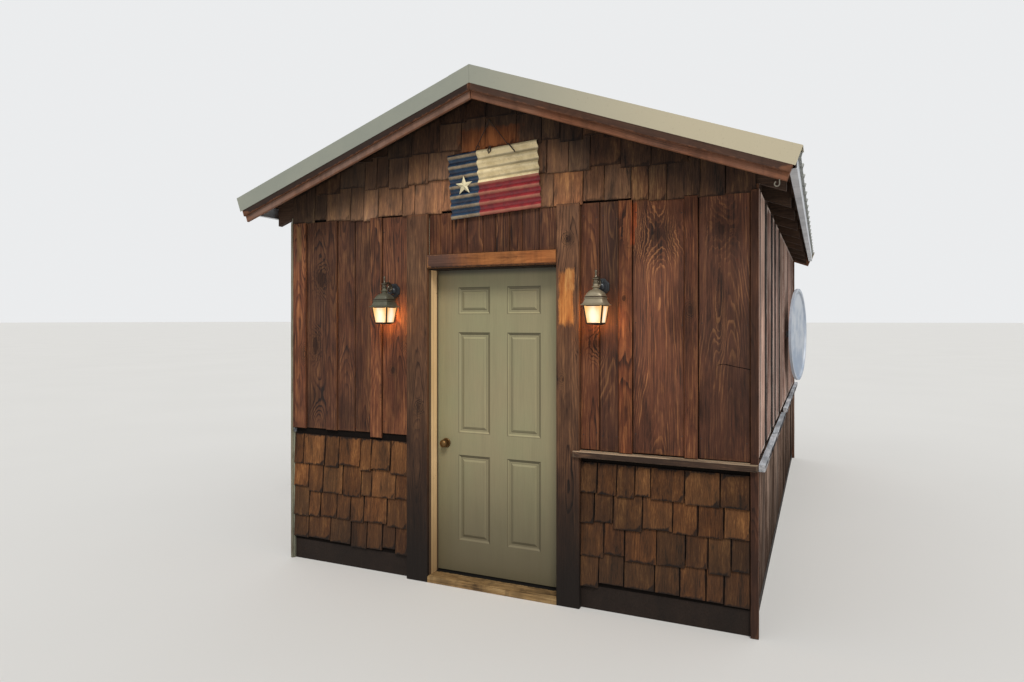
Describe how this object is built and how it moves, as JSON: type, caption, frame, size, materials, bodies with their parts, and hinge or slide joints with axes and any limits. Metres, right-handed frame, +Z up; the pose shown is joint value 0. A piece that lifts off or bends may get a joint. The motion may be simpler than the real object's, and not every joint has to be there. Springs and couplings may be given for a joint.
{
  "type": "garden shed",
  "caption": "Small timber garden shed with batten walls, shingled gable and skirt, a ribbed steel roof, a hinged panel door, wall lanterns and a corrugated tin picture.",
  "frame": {"origin": "on the ground at the centre of the roofed footprint, under the ridge line", "axes": "+X to the right of someone facing the door, +Y from the door towards the back, +Z up"},
  "size_m": [3.7104, 6.093, 3.2829],
  "materials": {
    "treated_timber": "rough sawn, dark and damp",
    "floor_boards": "worn boards",
    "framed_wall": "dark sheathing outside, plain boards inside",
    "stained_boards": "red-brown stain on rough cedar",
    "cedar_shingles": "split shingles, worn and uneven",
    "dark_shingles": "split shingles, dark with age",
    "weathered_boards": "grey weathered boards",
    "corner_timber": "weathered edge",
    "weathered_ledge": "silvered, flaking",
    "cream_paint": "aged cream gloss",
    "sill_timber": "bare worn sill",
    "casing_timber": "dark stain, orange where worn",
    "header_timber": "orange-brown stain",
    "green_paint": "satin sage green",
    "aged_brass": "tarnished",
    "hinge_steel": "dull zinc",
    "roof_timber": "unpainted, smoky brown",
    "roof_metal": "weathered grey-green coating",
    "rake_metal": "chalky grey-green coating",
    "barge_timber": "brown stain",
    "galvanised": "dull spangle",
    "lantern_bronze": "verdigris bronze finish",
    "lit_glass": "frosted and lit from inside",
    "painted_tin": "worn red, cream and blue paint",
    "star_paint": "worn cream paint",
    "hanging_wire": "rusty",
    "disc_metal": "plain pale grey"
  },
  "bodies": {
    "root": {"base_beams": "treated_timber", "floor_deck": "floor_boards", "front_wall_left": "framed_wall", "front_wall_right": "framed_wall", "front_wall_over_door": "framed_wall", "front_gable": "framed_wall", "back_wall": "framed_wall", "left_wall": "framed_wall", "right_wall": "framed_wall", "front_boards": "stained_boards", "front_shingles": "cedar_shingles", "front_gable_shingles": "dark_shingles", "back_cladding": "stained_boards", "left_cladding": "stained_boards", "right_cladding": "weathered_boards", "corner_boards": "corner_timber", "front_ledge": "stained_boards", "side_ledges": "weathered_ledge", "back_ledge": "stained_boards", "door_jamb_left": "cream_paint", "door_jamb_right": "cream_paint", "door_head": "cream_paint", "door_sill": "sill_timber", "door_casing_left": "casing_timber", "door_casing_right": "casing_timber", "door_header_board": "header_timber", "hinge_frame_halves": "hinge_steel", "rafters": "roof_timber", "eave_blocking": "roof_timber", "ridge_board": "roof_timber", "roof_deck": "roof_timber", "roof_panel_left": "roof_metal", "roof_panel_right": "roof_metal", "ridge_cap": "roof_metal", "rake_trims": "rake_metal", "barge_boards": "barge_timber", "eave_trim_left": "galvanised", "eave_trim_right": "galvanised", "lantern_mount_left": "lantern_bronze", "lantern_mount_right": "lantern_bronze", "lantern_cage_left": "lantern_bronze", "lantern_cage_right": "lantern_bronze", "lantern_glass_left": "lit_glass", "lantern_glass_right": "lit_glass", "tin_flag": "painted_tin", "flag_star": "star_paint", "flag_hanger": "hanging_wire", "screw_hook": "hanging_wire", "round_disc": "disc_metal", "disc_bracket": "hinge_steel"},
    "door": {"door_leaf": "green_paint", "knob_roses": "aged_brass", "hinge_leaf_halves": "hinge_steel"},
    "knob": {"door_knob": "aged_brass"}
  },
  "joints": [
    {"name": "door_swing", "type": "hinge", "parent": "root", "child": "door", "pos_m": [0.4595, -2.575, 1], "axis": [0, 0, -1], "range_deg": [0, 100]},
    {"name": "knob_turn", "type": "hinge", "parent": "door", "child": "knob", "pos_m": [-0.39, -2.603, 0.91], "axis": [0, -1, 0], "range_deg": [-60, 60], "stiffness_Nm_per_rad": 0.4}
  ]
}
